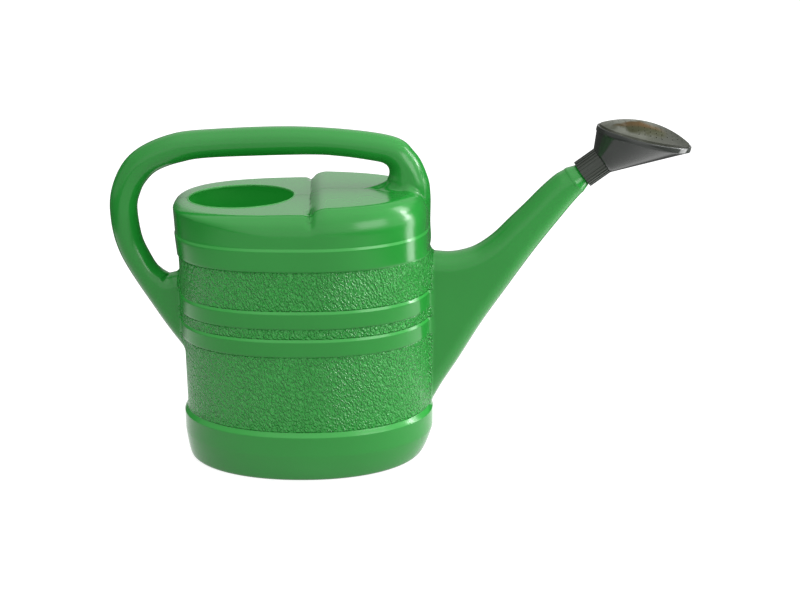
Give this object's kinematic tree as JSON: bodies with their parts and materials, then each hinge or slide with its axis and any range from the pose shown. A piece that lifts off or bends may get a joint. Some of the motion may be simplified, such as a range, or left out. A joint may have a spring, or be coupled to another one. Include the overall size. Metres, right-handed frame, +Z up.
{
  "type": "watering can",
  "caption": "Oval garden watering can with a banded, grained tank, a loop handle, a fin-shaped spout and a removable domed rose.",
  "frame": {"origin": "middle of the base, on the surface that the can stands on", "axes": "+X towards the spout, +Z up, symmetric about Y = 0"},
  "size_m": [0.6012, 0.189, 0.3636],
  "materials": {
    "green_moulding": "semi-gloss polyethylene, smooth bands and leather-grained panels",
    "black_collar": "satin, ribbed along its length",
    "black_funnel": "glossy injection moulding",
    "black_face": "satin dome with small holes"
  },
  "bodies": {
    "can": {"tank_foot": "green_moulding", "tank_wall": "green_moulding", "tank_top": "green_moulding", "handle": "green_moulding", "spout": "green_moulding"},
    "collar": {"rose_collar": "black_collar"},
    "rose": {"rose_funnel": "black_funnel", "rose_face": "black_face"}
  },
  "joints": [
    {"name": "rose_pull_off", "type": "slide", "parent": "can", "child": "collar", "axis": [0.8028, 0, 0.5962], "range_m": [0, 0.04]},
    {"name": "rose_turn", "type": "hinge", "parent": "collar", "child": "rose", "pos_m": [0.30757, 0, 0.32151], "axis": [0.8028, 0, 0.5962], "continuous": true}
  ]
}
